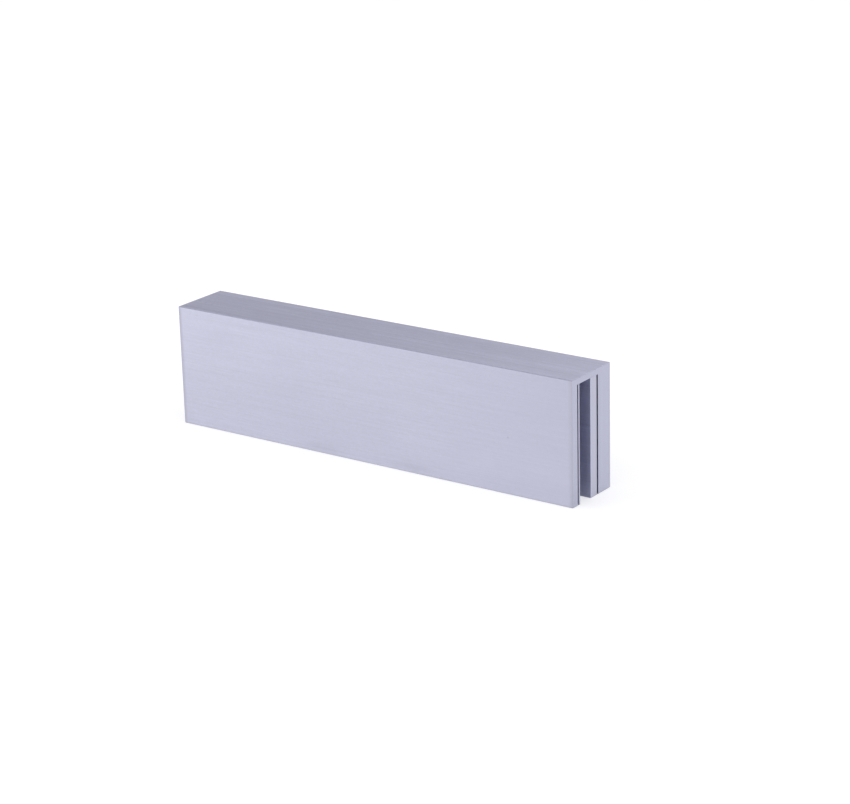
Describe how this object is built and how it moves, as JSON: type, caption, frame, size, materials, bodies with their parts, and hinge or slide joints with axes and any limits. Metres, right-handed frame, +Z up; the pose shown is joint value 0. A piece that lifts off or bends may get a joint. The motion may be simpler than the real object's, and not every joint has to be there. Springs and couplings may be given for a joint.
{
  "type": "glass door bracket",
  "caption": "Brushed aluminium U-shaped bracket that slides over the top edge of a frameless glass door, grips it with set screws and a clamp plate, and carries a lock's armature plate.",
  "frame": {"origin": "middle of the plane that the bracket's open edges stand on, below the centre of the part", "axes": "+X along the channel, which is the door's top edge in use; +Y from the plain front face to the drilled rear face; +Z up, with the mouth of the U downwards"},
  "size_m": [0.18, 0.0254, 0.0477],
  "materials": {
    "anodised_aluminium": "brushed along the length and clear anodised, satin on the sawn ends",
    "liner_sheet": "mill-finish sheet, sheared",
    "clamp_bar": "flat bar, satin",
    "set_screw_steel": "black oxide"
  },
  "bodies": {
    "channel": {"channel": "anodised_aluminium", "liner_plate": "liner_sheet"},
    "clamp_plate": {"clamp_plate": "clamp_bar"},
    "set_screw_1": {"set_screw_1": "set_screw_steel"},
    "set_screw_2": {"set_screw_2": "set_screw_steel"},
    "set_screw_3": {"set_screw_3": "set_screw_steel"},
    "set_screw_4": {"set_screw_4": "set_screw_steel"}
  },
  "joints": [
    {"name": "clamp_slide", "type": "slide", "parent": "channel", "child": "clamp_plate", "axis": [0, -1, 0], "range_m": [-0.0008, 0.003]},
    {"name": "set_screw_1_turn", "type": "hinge", "parent": "clamp_plate", "child": "set_screw_1", "pos_m": [-0.065, 0.0035, 0.0357], "axis": [0, -1, 0], "range_deg": [-300, 1100]},
    {"name": "set_screw_2_turn", "type": "hinge", "parent": "clamp_plate", "child": "set_screw_2", "pos_m": [0.065, 0.0035, 0.0357], "axis": [0, -1, 0], "range_deg": [-300, 1100]},
    {"name": "set_screw_3_turn", "type": "hinge", "parent": "clamp_plate", "child": "set_screw_3", "pos_m": [-0.065, 0.0035, 0.012], "axis": [0, -1, 0], "range_deg": [-300, 1100]},
    {"name": "set_screw_4_turn", "type": "hinge", "parent": "clamp_plate", "child": "set_screw_4", "pos_m": [0.065, 0.0035, 0.012], "axis": [0, -1, 0], "range_deg": [-300, 1100]}
  ],
  "couplings": [
    {"joint": "set_screw_1_turn", "follows": "clamp_slide", "rad_per_m": 6283.2},
    {"joint": "set_screw_2_turn", "follows": "clamp_slide", "rad_per_m": 6283.2},
    {"joint": "set_screw_3_turn", "follows": "clamp_slide", "rad_per_m": 6283.2},
    {"joint": "set_screw_4_turn", "follows": "clamp_slide", "rad_per_m": 6283.2}
  ]
}
